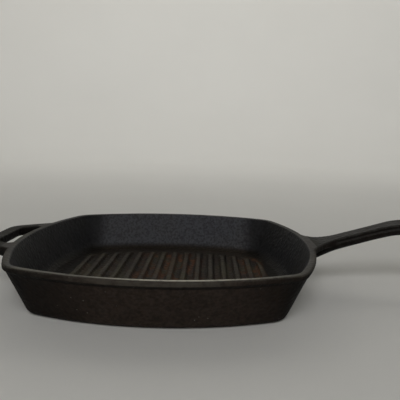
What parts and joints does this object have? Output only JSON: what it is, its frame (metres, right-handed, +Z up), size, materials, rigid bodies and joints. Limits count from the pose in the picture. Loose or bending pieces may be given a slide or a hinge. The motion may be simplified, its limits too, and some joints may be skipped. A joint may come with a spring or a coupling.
{
  "type": "square cast iron grill pan",
  "caption": "Square cast iron grill pan: sloping walls with bowed sides, thick rim band, ribbed floor, upswept handle with a hanging hole and a small assist loop opposite.",
  "frame": {"origin": "centre of the flat underside, where the pan stands on a hob or table", "axes": "+Z up; +X along the long handle, away from the bowl; +Y across the bowl, towards its back"},
  "size_m": [0.4392, 0.2666, 0.0625],
  "materials": {
    "wall": "oil-seasoned sand casting, matte with a faint sheen",
    "rim": "seasoned casting worn to a greyer satin on top",
    "cooking_surface": "seasoned casting, rib tops burnished, rust film in the grooves",
    "handle": "seasoned casting rubbed to a satin grey by hands",
    "assist_loop": "seasoned casting rubbed to a satin grey by hands"
  },
  "bodies": {
    "root": {"assist_bar": "assist_loop", "assist_leg_back": "assist_loop", "assist_leg_front": "assist_loop", "floor_plate": "cooking_surface", "grill_rib_01": "cooking_surface", "grill_rib_02": "cooking_surface", "grill_rib_03": "cooking_surface", "grill_rib_04": "cooking_surface", "grill_rib_05": "cooking_surface", "grill_rib_06": "cooking_surface", "grill_rib_07": "cooking_surface", "grill_rib_08": "cooking_surface", "grill_rib_09": "cooking_surface", "grill_rib_10": "cooking_surface", "grill_rib_11": "cooking_surface", "grill_rib_12": "cooking_surface", "grill_rib_13": "cooking_surface", "grill_rib_14": "cooking_surface", "grill_rib_15": "cooking_surface", "handle_grip": "handle", "handle_root": "handle", "handle_shank": "handle", "rim_assist_side": "rim", "rim_back": "rim", "rim_corner_back_assist": "rim", "rim_corner_back_handle": "rim", "rim_corner_front_assist": "rim", "rim_corner_front_handle": "rim", "rim_front": "rim", "rim_handle_side": "rim", "wall_assist_side": "wall", "wall_back": "wall", "wall_corner_back_assist": "wall", "wall_corner_back_handle": "wall", "wall_corner_front_assist": "wall", "wall_corner_front_handle": "wall", "wall_front": "wall", "wall_handle_side": "wall"}
  },
  "joints": []
}
